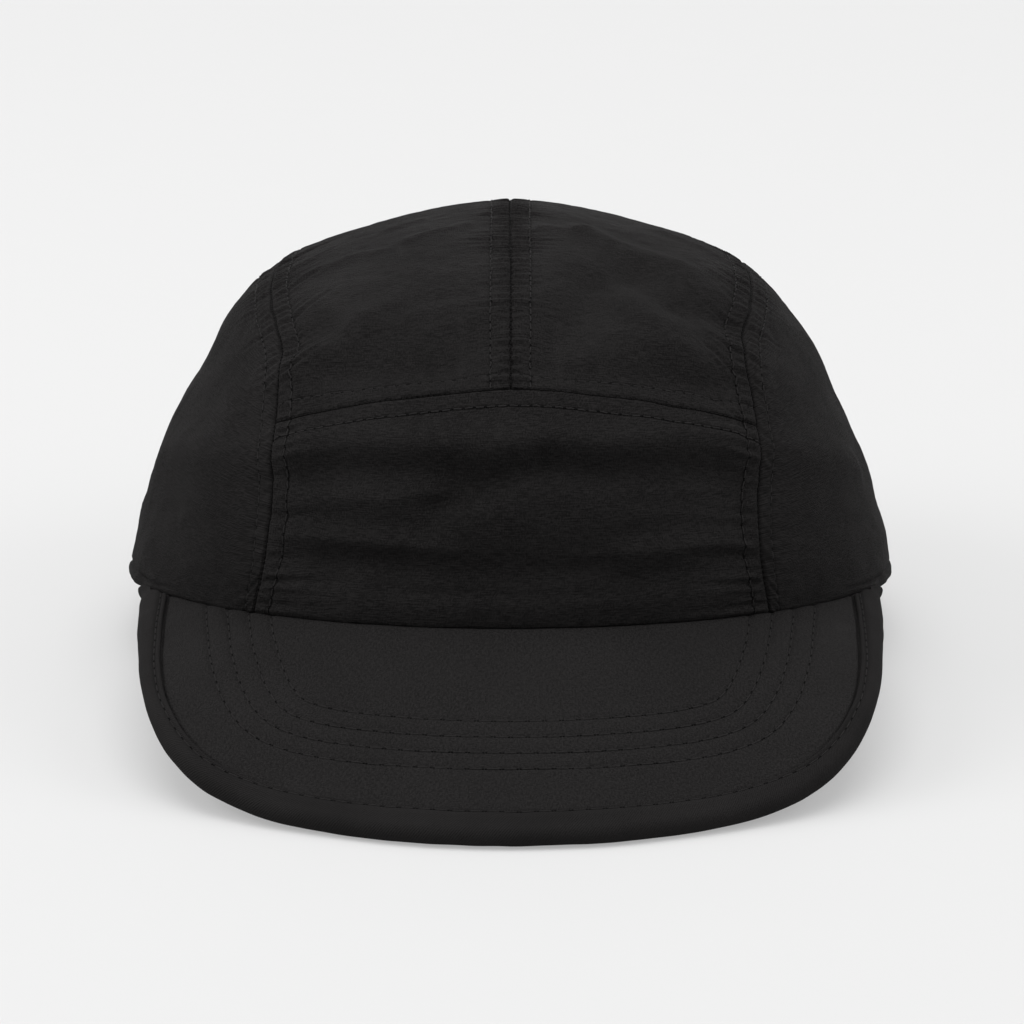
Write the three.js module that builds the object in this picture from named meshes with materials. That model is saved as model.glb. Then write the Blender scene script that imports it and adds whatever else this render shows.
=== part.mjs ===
// Five panel cap: a soft cloth crown of five panels with a sweatband inside its rim, and a stiff
// covered peak with a bound edge. Sizes are millimetres, +Z is up and the peak points along -Y.
// The cap rests on a level surface as it does unworn, on the front edge of its peak and on the
// back of its rim. The origin is on that surface, under the middle of the cap's length.

import * as THREE from 'three';
import { mergeVertices } from 'three/addons/utils/BufferGeometryUtils.js';

// Driving sizes of the crown
const crownWidth = 185.6;
const frontReach = 96;
const rearReach = 98;
const crownHeight = 103.1;
const frontRimHeight = 31.5;
const topSetback = 4;
const frontPanelWidth = 119.2;
const clothThickness = 1.2;

// Driving sizes of the sweatband
const bandHeight = 29;
const bandThickness = 1.2;
const bandLean = 3.4;

// Driving sizes of the peak
const peakLength = 56.9;
const boardThickness = 2.6;
const peakTuck = 3;
const bindingWidth = 6.2;
const bindingThickness = 0.9;

// Space left between two pieces that are sewn together
const seamGap = 0.3;

// How the crown swells away from a half ellipsoid, by how steeply a point rises from the middle
// of the rim in degrees: shares of the crown's half width and of its reach to the front and rear
const sections = [
  { rise: 0, side: 1, front: 1, rear: 1 },
  { rise: 15, side: 0.978, front: 1.02, rear: 1.02 },
  { rise: 30, side: 0.988, front: 1.08, rear: 1.05 },
  { rise: 45, side: 1.051, front: 1.16, rear: 1.08 },
  { rise: 60, side: 1.132, front: 1.27, rear: 1.1 },
  { rise: 75, side: 0.98, front: 1.4, rear: 1.12 },
  { rise: 90, side: 1, front: 1.5, rear: 1.12 },
];

// Half the width between the two side seams, as a share of its width at the front of the rim.
// The turn goes in degrees from the front of the rim over the top to the back of the rim.
const sideSeam = [
  { turn: 0, half: 1 },
  { turn: 9, half: 0.967 },
  { turn: 18, half: 0.945 },
  { turn: 40, half: 0.935 },
  { turn: 58, half: 0.9 },
  { turn: 76, half: 0.957 },
  { turn: 92, half: 0.955 },
  { turn: 130, half: 0.88 },
  { turn: 180, half: 0.755 },
];

// The arched seam between the front panel and the two top panels, in degrees of turn
const crossSeamTurn = 45.5;
const crossSeamDip = 3.6;
const crossSeamRound = 0.1;

// Folds and dents of the slack cloth. Width and swell are shares of the crown's width, and a
// swell below nothing is a dent. A path is a row of [bearing, rise] in degrees, with the bearing
// counted from the front towards +X.
const folds = [
  { width: 0.036, swell: 0.0135, path: [
    [-33, 30], [-28, 31.5], [-17, 33], [0, 34], [14, 33.5],
    [27, 32.5], [35, 30.5],
  ] },
  { width: 0.03, swell: 0.006, path: [[39, 29], [50, 27], [73, 20]] },
  { width: 0.03, swell: 0.006, path: [[-37, 28.5], [-52, 26], [-78, 21]] },
  { width: 0.03, swell: -0.0135, path: [[-33, 26.5], [-25, 28.5], [-17, 29], [-9, 29]] },
  { width: 0.03, swell: -0.013, path: [[7, 30], [14, 29], [22, 28.5], [33, 27.5]] },
  { width: 0.026, swell: -0.012, path: [[5.5, 31.5], [-1.5, 28], [-6, 25], [-11, 22]] },
  { width: 0.022, swell: -0.007, path: [[-35.5, 17.2], [-28, 18], [-19.5, 18.5], [-12, 18]] },
  { width: 0.024, swell: -0.008, path: [[-34, 10.7], [-27, 11], [-16, 11.5]] },
  { width: 0.034, swell: -0.009, path: [[-27, 9], [-12, 9.5], [0, 9.5], [13, 10.5]] },
  { width: 0.024, swell: -0.008, path: [[36, 20.8], [30, 21.5], [21, 22.5]] },
  { width: 0.022, swell: -0.007, path: [[36, 16.3], [31, 17], [18, 17]] },
  { width: 0.026, swell: -0.009, path: [[34, 10.5], [28, 9.5], [18, 8]] },
  { width: 0.03, swell: -0.01, path: [[-36, 45], [-25, 47.5], [-14, 50]] },
  { width: 0.03, swell: -0.01, path: [[14, 48.5], [28, 46], [39, 42]] },
  { width: 0.06, swell: -0.014, path: [[-28, 54], [-12, 54.5]] },
  { width: 0.03, swell: 0.01, path: [[-42, 45], [-39, 49], [-36, 53], [-34, 58]] },
  { width: 0.024, swell: -0.007, path: [[-48, 49], [-42, 54]] },
  { width: 0.025, swell: 0.009, path: [[60, 78], [54, 74], [56, 71], [63, 65]] },
  { width: 0.03, swell: 0.011, path: [[33, 64], [33.5, 56], [36, 47]] },
  { width: 0.034, swell: -0.015, path: [[41, 66], [43, 60.5], [50, 57.5], [55, 53]] },
  { width: 0.03, swell: -0.014, path: [[25, 66.5], [18, 63], [10, 55], [7, 51]] },
  { width: 0.05, swell: -0.009, path: [[60, 33], [88, 30]] },
  { width: 0.05, swell: -0.008, path: [[-66, 36], [-96, 36]] },
  { width: 0.05, swell: -0.008, path: [[-140, 30], [-165, 34], [-178, 30]] },
  { width: 0.045, swell: -0.008, path: [[178, 42], [158, 38], [136, 26]] },
];

// Degrees of rise over which the folds start at the rim, and over which a wall that stands
// square to the cloth turns level, so that its lower edge is flat
const foldStart = 6;
const levelStart = 18;

// The outer edge of the peak, by bearing from the front in degrees: how far it reaches beyond
// the rim, and how far it lies under the plane of the rim, as shares of the peak's length and
// of its drop at the front
const peakEdge = [
  { bearing: 0, reach: 1, drop: 1 },
  { bearing: 8, reach: 0.99, drop: 0.99 },
  { bearing: 15, reach: 0.96, drop: 0.968 },
  { bearing: 21.5, reach: 0.936, drop: 0.916 },
  { bearing: 26, reach: 0.914, drop: 0.84 },
  { bearing: 29.5, reach: 0.882, drop: 0.752 },
  { bearing: 33, reach: 0.82, drop: 0.635 },
  { bearing: 37, reach: 0.712, drop: 0.498 },
  { bearing: 42, reach: 0.548, drop: 0.365 },
  { bearing: 48, reach: 0.362, drop: 0.25 },
  { bearing: 55, reach: 0.196, drop: 0.158 },
  { bearing: 62, reach: 0.07, drop: 0.092 },
  { bearing: 67, reach: 0.01, drop: 0.08 },
  { bearing: 71, reach: -0.006, drop: 0.077 },
];
const peakLip = 2;
const bindingEnd = 69;

// Numbers of facets along and across each piece
const frontPanelFacets = { along: 24, up: 16 };
const topPanelFacets = { along: 11, up: 30 };
const sidePanelFacets = { along: 32, up: 11 };
const bandFacets = { along: 72, up: 4 };
const peakFacets = { along: 42, up: 7 };
const bindingFacets = { along: 40, nose: 6 };

const degree = THREE.MathUtils.DEG2RAD;
const { lerp, clamp, smoothstep } = THREE.MathUtils;
const seamTurn = seamGap / (crownWidth / 2) / degree;
const noseRadius = boardThickness / 2 + seamGap + bindingThickness;

// A column of a table, read between its rows along a smooth cubic curve
function readTable(table, key, column, place) {
  const last = table.length - 2;
  const after = table.findIndex((row) => row[key] > place);
  const index = after < 0 ? last : clamp(after - 1, 0, last);
  const [low, high] = [table[index], table[index + 1]];
  const slope = (from, to) => (to[column] - from[column]) / (to[key] - from[key]);
  const lowSlope = slope(table[Math.max(index - 1, 0)], high);
  const highSlope = slope(low, table[Math.min(index + 2, last + 1)]);
  const span = high[key] - low[key];
  const share = clamp((place - low[key]) / span, 0, 1);
  const rest = 1 - share;
  return low[column] * rest * rest * (1 + 2 * share) + lowSlope * span * share * rest * rest
    + high[column] * share * share * (1 + 2 * rest) - highSlope * span * share * share * rest;
}

// Height of the plane of the rim, which rises from the back of the cap to the front
function rimPlane(y) {
  return frontRimHeight * (rearReach - y) / (frontReach + rearReach);
}

// A direction out of the middle of the rim
function directionAt(bearing, rise) {
  const level = Math.cos(rise * degree);
  return new THREE.Vector3(
    level * Math.sin(bearing * degree),
    -level * Math.cos(bearing * degree),
    Math.sin(rise * degree),
  );
}

// The point of the smooth crown in a direction
function domePoint(direction) {
  const level = Math.hypot(direction.x, direction.y);
  const forward = level > 0 ? -direction.y / level : 0;
  const rise = Math.asin(clamp(direction.z, 0, 1)) / degree;
  const end = forward > 0 ? 'front' : 'rear';
  const reach = forward > 0 ? frontReach : rearReach;
  const side = readTable(sections, 'rise', 'side', rise);
  const spread = lerp(side, readTable(sections, 'rise', end, rise), forward * forward);
  const rimHeight = rimPlane(-reach * forward);
  return new THREE.Vector3(
    crownWidth / 2 * direction.x * spread,
    topSetback * (1 - level) + reach * direction.y * spread,
    lerp(rimHeight, crownHeight, direction.z),
  );
}

// The way out of the smooth crown, square to it, and level near the rim
function outwardAt(direction) {
  const step = 0.001;
  const helper = direction.z < 0.9 ? new THREE.Vector3(0, 0, 1) : new THREE.Vector3(0, 1, 0);
  const across = new THREE.Vector3().crossVectors(helper, direction).normalize();
  const along = new THREE.Vector3().crossVectors(direction, across);
  const here = domePoint(direction);
  const [right, above] = [across, along].map(
    (way) => domePoint(direction.clone().addScaledVector(way, step).normalize()).sub(here),
  );
  const outward = right.cross(above).normalize();
  outward.z *= smoothstep(direction.z, 0, Math.sin(levelStart * degree));
  return outward.normalize();
}

// Each fold's path as straight legs between unit directions
const foldLegs = folds.map(({ path }) => path.slice(1).map(
  (end, index) => new THREE.Line3(directionAt(...path[index]), directionAt(...end)),
));

// How far the folds lift the cloth in a direction: a rounded ridge or dent along each path
function foldRelief(direction) {
  const nearest = new THREE.Vector3();
  let lift = 0;
  folds.forEach(({ width, swell }, index) => {
    const distances = foldLegs[index].map((leg) => {
      leg.closestPointToPoint(direction, true, nearest);
      return nearest.normalize().distanceTo(direction);
    });
    const away = Math.min(...distances) / 2 / width;
    lift += swell * crownWidth * Math.exp(-away * away);
  });
  return lift * smoothstep(direction.z, 0, Math.sin(foldStart * degree));
}

// A point of the folded crown, at a depth under the outer face of its cloth
function clothPoint(direction, depth) {
  return domePoint(direction).addScaledVector(outwardAt(direction), foldRelief(direction) - depth);
}

// The direction of the crown's point that lies across from the middle line, at a turn
function stripDirection(across, turn) {
  let sideways = across / (crownWidth / 2);
  const direction = new THREE.Vector3();
  const settlingPasses = 9;
  for (let pass = 0; pass < settlingPasses; pass += 1) {
    const lengthwise = Math.sqrt(1 - sideways * sideways);
    direction.set(
      sideways,
      -lengthwise * Math.cos(turn * degree),
      Math.max(lengthwise * Math.sin(turn * degree), 0),
    );
    const reached = domePoint(direction).x;
    sideways *= reached === 0 ? 1 : across / reached;
  }
  return direction;
}

function sideSeamHalf(turn) {
  return frontPanelWidth / 2 * readTable(sideSeam, 'turn', 'half', turn);
}

// The turn of the arched seam, by the share of the way from the middle line to a side seam
function crossSeam(share) {
  return crossSeamTurn - crossSeamDip * (Math.hypot(share, crossSeamRound) - crossSeamRound);
}

// One closed body between two sheets of points, the outer sheet 0 and the inner sheet 1. As seen
// from outside, along runs to the right and up runs upwards, both as shares from 0 to 1.
function sheetBody(pointAt, facets, closesOnItself = false) {
  const sheets = [0, 1].map((sheet) => Array.from({ length: facets.along + 1 }, (_, column) => {
    const wrapped = closesOnItself ? column % facets.along : column;
    return Array.from({ length: facets.up + 1 }, (__, row) => (
      pointAt(wrapped / facets.along, row / facets.up, sheet)
    ));
  }));
  const [outer, inner] = sheets;
  const corners = [];
  const addQuad = (a, b, c, d) => corners.push(a, b, c, a, c, d);
  const lastColumn = facets.along;
  const lastRow = facets.up;
  for (let column = 0; column < lastColumn; column += 1) {
    const next = column + 1;
    for (let row = 0; row < lastRow; row += 1) {
      addQuad(outer[column][row], outer[next][row], outer[next][row + 1], outer[column][row + 1]);
      addQuad(inner[column][row], inner[column][row + 1], inner[next][row + 1], inner[next][row]);
    }
    addQuad(inner[column][0], inner[next][0], outer[next][0], outer[column][0]);
    addQuad(outer[column][lastRow], outer[next][lastRow], inner[next][lastRow], inner[column][lastRow]);
  }
  for (let row = 0; row < lastRow && !closesOnItself; row += 1) {
    addQuad(inner[0][row], outer[0][row], outer[0][row + 1], inner[0][row + 1]);
    addQuad(outer[lastColumn][row], inner[lastColumn][row], inner[lastColumn][row + 1], outer[lastColumn][row + 1]);
  }
  return closedGeometry(corners);
}

// Corners of triangles joined where they meet, without the triangles that have no area
function closedGeometry(corners) {
  const merged = mergeVertices(new THREE.BufferGeometry().setFromPoints(corners));
  const index = Array.from(merged.getIndex().array);
  const kept = [];
  for (let corner = 0; corner < index.length; corner += 3) {
    const [a, b, c] = index.slice(corner, corner + 3);
    if (a !== b && b !== c && c !== a) kept.push(a, b, c);
  }
  merged.setIndex(kept);
  merged.computeVertexNormals();
  return merged;
}

function frontPanel() {
  return sheetBody((along, up, sheet) => {
    const share = 2 * along - 1;
    const turn = up * (crossSeam(share) - seamTurn / 2);
    const across = share * (sideSeamHalf(turn) - seamGap / 2);
    return clothPoint(stripDirection(across, turn), sheet * clothThickness);
  }, frontPanelFacets);
}

// A top panel, from the arched seam over the top to the back of the rim
function topPanel(side) {
  return sheetBody((along, up, sheet) => {
    const share = side > 0 ? along : 1 - along;
    const turn = lerp(crossSeam(share) + seamTurn / 2, 180, up);
    const across = side * lerp(seamGap / 2, sideSeamHalf(turn) - seamGap / 2, share);
    return clothPoint(stripDirection(across, turn), sheet * clothThickness);
  }, topPanelFacets);
}

// A side panel, between the rim and its side seam, which meet at the front and at the back
function sidePanel(side) {
  const seamDirection = (turn) => stripDirection(sideSeamHalf(turn) + seamGap / 2, turn);
  const bearingOf = (direction) => Math.atan2(direction.x, -direction.y) / degree;
  const frontBearing = bearingOf(seamDirection(0));
  const rearBearing = bearingOf(seamDirection(180));
  return sheetBody((along, up, sheet) => {
    const share = side > 0 ? along : 1 - along;
    const seam = seamDirection(180 * share);
    const direction = directionAt(lerp(frontBearing, rearBearing, share), 0);
    direction.lerp(seam, up).normalize();
    direction.x *= side;
    return clothPoint(direction, sheet * clothThickness);
  }, sidePanelFacets);
}

// The sweatband, a ring of tape that is sewn in along the rim and leans clear of the crown above
function sweatband() {
  const fullLean = 1 / bandFacets.up;
  return sheetBody((along, up, sheet) => {
    const bearing = 360 * along;
    const rimHeight = domePoint(directionAt(bearing, 0)).z;
    const direction = directionAt(bearing, Math.asin(up * bandHeight / (crownHeight - rimHeight)) / degree);
    const depth = clothThickness + seamGap + bandLean * Math.min(up / fullLean, 1);
    return domePoint(direction).addScaledVector(outwardAt(direction), -depth - sheet * bandThickness);
  }, bandFacets, true);
}

// A point out from the rim at a bearing, at a drop under the plane of the rim
function beyondRim(bearing, beyond, drop) {
  const rim = domePoint(directionAt(bearing, 0));
  const radius = Math.hypot(rim.x, rim.y);
  const [x, y] = [rim.x, rim.y].map((value) => value * (1 + beyond / radius));
  return new THREE.Vector3(x, y, rimPlane(y) - drop);
}

// The drop at the front sets the nose of the bound edge on the surface
const peakDrop = rimPlane(-frontReach - peakLength) - noseRadius;
const ledgeDrop = seamGap + boardThickness / 2;

// Middle of the board, at a share of the way in from its edge to the seam at the rim
function boardMiddle(bearing, share) {
  const reach = peakLength * readTable(peakEdge, 'bearing', 'reach', Math.abs(bearing));
  const drop = peakDrop * readTable(peakEdge, 'bearing', 'drop', Math.abs(bearing));
  const edge = beyondRim(bearing, reach, drop);
  const seam = beyondRim(bearing, Math.min(0, reach - peakLip), ledgeDrop);
  return edge.lerp(seam, share);
}

// The way up out of the board, square to its middle, and to the plane of the rim at the seam
function boardUp(bearing, share) {
  if (share >= 1) {
    return new THREE.Vector3(0, rimPlane(0) - rimPlane(1), 1).normalize();
  }
  const step = 0.01;
  const here = boardMiddle(bearing, share);
  const right = boardMiddle(bearing + step, share).sub(here);
  const inward = boardMiddle(bearing, share + step).sub(here);
  return right.cross(inward).normalize();
}

// The board of the peak with its cloth cover, whose inner edge lies on a level ledge under the
// rim of the crown
function peakBoard() {
  const edgeBearing = peakEdge.at(-1).bearing;
  const seamShare = 1 - 1 / peakFacets.up;
  return sheetBody((along, up, sheet) => {
    const bearing = edgeBearing * (2 * along - 1);
    const share = Math.min(up / seamShare, 1);
    const middle = up > seamShare + 0.5 / peakFacets.up
      ? beyondRim(bearing, -peakTuck, ledgeDrop)
      : boardMiddle(bearing, share);
    return middle.addScaledVector(boardUp(bearing, share), (0.5 - sheet) * boardThickness);
  }, peakFacets);
}

// The tape folded round the edge of the board, from its border underneath to the one on top
function peakBinding() {
  const lastRow = bindingFacets.nose + 2;
  return sheetBody((along, up, sheet) => {
    const bearing = bindingEnd * (2 * along - 1);
    const edge = boardMiddle(bearing, 0);
    const outward = edge.clone().sub(boardMiddle(bearing, 1));
    const radius = noseRadius - sheet * bindingThickness;
    const row = Math.round(up * lastRow);
    if (row === 0 || row === lastRow) {
      const width = Math.min(bindingWidth - noseRadius, outward.length() - peakLip / 2);
      const share = width / outward.length();
      const rise = row === 0 ? -radius : radius;
      return boardMiddle(bearing, share).addScaledVector(boardUp(bearing, share), rise);
    }
    const angle = Math.PI * ((row - 1) / bindingFacets.nose - 0.5);
    return edge.addScaledVector(outward.normalize(), radius * Math.cos(angle))
      .addScaledVector(boardUp(bearing, 0), radius * Math.sin(angle));
  }, { along: bindingFacets.along, up: lastRow });
}

// Dark woven nylon, and the plainer tape of the sweatband and the bound edge
const nylon = { color: 0x232122, roughness: 0.86, metalness: 0 };
const tape = { color: 0x1c1b1c, roughness: 0.9, metalness: 0 };

const cap = new THREE.Group();
cap.position.y = (peakLength + noseRadius + frontReach - rearReach) / 2;

function addPiece(name, geometry, finish) {
  const piece = new THREE.Mesh(geometry, new THREE.MeshStandardMaterial(finish));
  piece.name = name;
  cap.add(piece);
}

addPiece('front_panel', frontPanel(), nylon);
addPiece('top_panel_left', topPanel(-1), nylon);
addPiece('top_panel_right', topPanel(1), nylon);
addPiece('side_panel_left', sidePanel(-1), nylon);
addPiece('side_panel_right', sidePanel(1), nylon);
addPiece('sweatband', sweatband(), tape);
addPiece('peak', peakBoard(), nylon);
addPiece('peak_binding', peakBinding(), tape);

export default cap;
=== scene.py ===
"""Dresses the five panel cap: sewn and gathered nylon panels, a stitched peak with a bound edge,
a sweatband, and a pale stage with its camera. Lengths are metres, in the frame of the solids."""

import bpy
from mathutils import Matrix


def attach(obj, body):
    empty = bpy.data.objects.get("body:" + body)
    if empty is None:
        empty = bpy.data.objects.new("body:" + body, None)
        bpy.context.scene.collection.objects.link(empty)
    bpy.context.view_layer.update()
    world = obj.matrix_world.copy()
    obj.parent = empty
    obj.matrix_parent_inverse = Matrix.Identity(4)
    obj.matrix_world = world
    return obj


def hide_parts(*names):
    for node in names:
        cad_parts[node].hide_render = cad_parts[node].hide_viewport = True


bl_info = {
    "name": "Five panel cap",
    "version": (1, 0, 0),
    "blender": (4, 5, 0),
    "location": "3D View > Sidebar > Cap",
    "description": "Sews the cloth, threads and tape of a five panel cap over its solids",
    "category": "Object",
}

import math

import bmesh
import bpy
import numpy as np
from mathutils import Vector

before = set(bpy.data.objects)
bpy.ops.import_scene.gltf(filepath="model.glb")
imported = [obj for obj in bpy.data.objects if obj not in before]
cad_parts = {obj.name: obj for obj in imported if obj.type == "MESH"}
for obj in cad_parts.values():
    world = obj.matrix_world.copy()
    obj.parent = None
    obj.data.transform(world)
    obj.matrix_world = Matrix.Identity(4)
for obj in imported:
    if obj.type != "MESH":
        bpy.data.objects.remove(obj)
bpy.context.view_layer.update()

# The crown as its solids have it
CROWN_WIDTH = 0.1856
FRONT_REACH = 0.096
REAR_REACH = 0.098
CROWN_HEIGHT = 0.1031
FRONT_RIM_HEIGHT = 0.0315
TOP_SETBACK = 0.004
FRONT_PANEL_WIDTH = 0.1192
CLOTH = 0.0012
BAND_HEIGHT = 0.029
BAND_THICKNESS = 0.0012
BAND_LEAN = 0.0034
SEAM_GAP = 0.0003
SEAM_SLIT = 0.0002

# The peak as its solids have it
PEAK_LENGTH = 0.0569
BOARD = 0.0026
PEAK_TUCK = 0.003
PEAK_LIP = 0.002
BINDING_THICKNESS = 0.0009
BINDING_END = 69
NOSE_RADIUS = BOARD / 2 + SEAM_GAP + BINDING_THICKNESS

# Degrees of rise over which the folds start and a wall turns level at the rim
FOLD_START = 6
LEVEL_START = 18

# Swell of the crown by degrees of rise, as shares of its half width and of its reach to the
# front and to the rear
SECTIONS = (
    (0, 1, 1, 1),
    (15, 0.978, 1.02, 1.02),
    (30, 0.988, 1.08, 1.05),
    (45, 1.051, 1.16, 1.08),
    (60, 1.132, 1.27, 1.1),
    (75, 0.98, 1.4, 1.12),
    (90, 1, 1.5, 1.12),
)

# Half the width between the side seams by degrees of turn from the front of the rim over the
# top, as a share of its width at the front
SIDE_SEAM = (
    (0, 1),
    (9, 0.967),
    (18, 0.945),
    (40, 0.935),
    (58, 0.9),
    (76, 0.957),
    (92, 0.955),
    (130, 0.88),
    (180, 0.755),
)

# How far the side seams stray outwards from that line by degrees of turn, left and right
SEAM_STRAY = (
    (0, 0, 0.0005),
    (8, 0, 0.001),
    (18, -0.0002, 0.0014),
    (32, -0.0012, 0.0014),
    (40, -0.0013, 0.0015),
    (50, -0.0003, 0.002),
    (60, 0, 0.0012),
    (72, 0, 0.0003),
    (92, 0, 0.0006),
    (120, 0, 0),
)

# The arched seam over the front panel, in degrees of turn
CROSS_SEAM_TURN = 45.5
CROSS_SEAM_DIP = 3.6
CROSS_SEAM_ROUND = 0.1

# Folds of the slack cloth: width and swell as shares of the crown's width, then the path as
# pairs of bearing from the front and rise, in degrees
FOLDS = (
    (0.036, 0.0135, (-33, 30), (-28, 31.5), (-17, 33), (0, 34), (14, 33.5), (27, 32.5), (35, 30.5)),
    (0.03, 0.006, (39, 29), (50, 27), (73, 20)),
    (0.03, 0.006, (-37, 28.5), (-52, 26), (-78, 21)),
    (0.03, -0.0135, (-33, 26.5), (-25, 28.5), (-17, 29), (-9, 29)),
    (0.03, -0.013, (7, 30), (14, 29), (22, 28.5), (33, 27.5)),
    (0.026, -0.012, (5.5, 31.5), (-1.5, 28), (-6, 25), (-11, 22)),
    (0.022, -0.0055, (-35.5, 17.2), (-28, 18), (-19.5, 18.5), (-12, 18)),
    (0.024, -0.008, (-34, 10.7), (-27, 11), (-16, 11.5)),
    (0.034, -0.009, (-27, 9), (-12, 9.5), (0, 9.5), (13, 10.5)),
    (0.024, -0.0065, (36, 20.8), (30, 21.5), (21, 22.5)),
    (0.022, -0.0055, (36, 16.3), (31, 17), (18, 17)),
    (0.026, -0.009, (34, 10.5), (28, 9.5), (18, 8)),
    (0.03, -0.01, (-36, 45), (-25, 47.5), (-14, 50)),
    (0.03, -0.01, (14, 48.5), (28, 46), (39, 42)),
    (0.06, -0.014, (-28, 54), (-12, 54.5)),
    (0.03, 0.01, (-42, 45), (-39, 49), (-36, 53), (-34, 58)),
    (0.024, -0.007, (-48, 49), (-42, 54)),
    (0.025, 0.009, (60, 78), (54, 74), (56, 71), (63, 65)),
    (0.03, 0.011, (33, 64), (33.5, 56), (36, 47)),
    (0.034, -0.015, (41, 66), (43, 60.5), (50, 57.5), (55, 53)),
    (0.03, -0.014, (25, 66.5), (18, 63), (10, 55), (7, 51)),
    (0.05, -0.009, (60, 33), (88, 30)),
    (0.05, -0.008, (-66, 36), (-96, 36)),
    (0.05, -0.008, (-140, 30), (-165, 34), (-178, 30)),
    (0.045, -0.008, (178, 42), (158, 38), (136, 26)),
)

# Small creases that the cloth has between its folds, in the same terms
CREASES = (
    (0.012, -0.002, (39, 25), (30, 26.5), (24, 26)),
    (0.01, -0.002, (-39.5, 24), (-35, 25), (-30, 24.5)),
    (0.011, 0.003, (-72, 60), (-71, 63), (-70, 66), (-63, 70)),
    (0.01, 0.003, (-65, 74), (-62, 77), (-53, 83)),
    (0.011, 0.003, (-96, 72), (-103, 76)),
    (0.01, 0.003, (32, 84), (57, 78.5)),
    (0.011, 0.003, (106, 67), (97, 62.5), (91, 60)),
    (0.01, 0.0018, (-30, 22.5), (-20, 23), (-10, 25)),
    (0.01, -0.002, (20, 25.5), (30, 25), (38, 24)),
    (0.011, 0.0018, (-34, 14.5), (-22, 14.5), (-8, 14)),
    (0.011, 0.0018, (10, 13), (24, 13), (36, 13.5)),
    (0.01, -0.0016, (-34, 7), (-18, 6), (0, 5.5), (14, 6)),
    (0.012, 0.002, (22, 56), (30, 52), (36, 50)),
    (0.01, -0.002, (-30, 60), (-22, 64), (-12, 66)),
    (0.01, 0.002, (-18, 58), (-12, 60), (-6, 62)),
    (0.01, -0.002, (44, 60), (44, 54), (42, 50)),
    (0.012, -0.002, (-62, 14), (-76, 12), (-90, 13)),
    (0.012, -0.002, (60, 12), (74, 10), (92, 11)),
    (0.012, -0.002, (56, 40), (66, 46), (70, 54)),
    (0.012, -0.002, (-56, 42), (-68, 46), (-74, 54)),
)

# The outer edge of the peak by bearing from the front: its reach beyond the rim and its drop
# under the plane of the rim, as shares of the peak's length and of its drop at the front, and
# the width of the tape on it as a share of the width at the front
PEAK_EDGE = (
    (0, 1, 1, 1),
    (8, 0.99, 0.99, 1),
    (15, 0.96, 0.968, 0.93),
    (21.5, 0.936, 0.916, 0.84),
    (26, 0.914, 0.84, 0.76),
    (29.5, 0.882, 0.752, 0.7),
    (33, 0.82, 0.635, 0.67),
    (37, 0.712, 0.498, 0.67),
    (42, 0.548, 0.365, 0.76),
    (48, 0.362, 0.25, 0.85),
    (55, 0.196, 0.158, 0.95),
    (62, 0.07, 0.092, 1),
    (67, 0.01, 0.08, 1),
    (71, -0.006, 0.077, 1),
)
PEAK_END = 71

# Fine creases of the crown and of the peak: height, size, and stretch sideways
CROWN_CREASES = ((0.00022, 0.009, 1), (0.0001, 0.0042, 1.6), (0.00005, 0.0021, 1.8))
PEAK_CREASES = ((0.00008, 0.005, 1), (0.00004, 0.0023, 1))

# Seeds of the puckers, one for each seam, which the cloth on both of its sides shares
LEFT_SEAM, RIGHT_SEAM, CROSS_SEAM, MIDDLE_SEAM = 11, 12, 13, 14
SIDES = ((-1, "left", LEFT_SEAM), (1, "right", RIGHT_SEAM))

# Relief beside a seam: the ditch at it, the band over its allowance, the groove under its row
DITCH_DEPTH, DITCH_WIDTH, DITCH_STEP = 0.0003, 0.00032, 0.0013
ALLOWANCE_LIFT = 0.0001
GROOVE_DEPTH, GROOVE_WIDTH = 0.0003, 0.0004

# Half the length of the arched seam, how far cloth hangs over the peak's seam, and how much
# further the hem droops beside the peak
ARCH_HALF = FRONT_PANEL_WIDTH / 2 * 1.09
OVERHANG = SEAM_GAP + 0.0002
HEM_DROOP = 0.001

# Relief at the rim: the rolled edge, the crease over the hem and the hem's lip
ROLL, ROLL_DEPTH = 0.0013, 0.0006
HEM_CREASE_AT, HEM_CREASE_DEPTH = 0.0028, 0.0006
HEM_LIP = 0.0003

# Relief of the peak: grooves under its rows, the swell between them, the ditch beside the tape
ROW_DEPTH, ROW_WIDTH = 0.0003, 0.00055
QUILTING = 0.00012
TAPE_DITCH = 0.0006

# Relief of the tape: how far it settles at its inner edge, its ridge there and its groove
TAPE_SETTLE = 0.0007
TAPE_RIDGE, TAPE_GROOVE, TAPE_FOLD_WIDTH = 0.00025, 0.00025, 0.0004
TAPE_ROW = 0.0014

# Rows and columns of the fine grids
FRONT_GRID = (240, 170)
TOP_GRID = (96, 620)
SIDE_GRID = (560, 70)
BAND_GRID = (240, 16)
PEAK_GRID = (400, 104)
NEARBY_COLUMNS = range(-90, 91, 2)
BINDING_COLUMNS = 400
BINDING_ROWS = (10, 14, 22)
STITCH_RINGS = (0, 0.06, 0.13, 0.3, 0.5, 0.7, 0.87, 0.94, 1)
STITCH_SIDES = 5
STITCH_GAP = 0.03
HOLE_START, HOLE_RAMP = 0.36, 0.07

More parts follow.
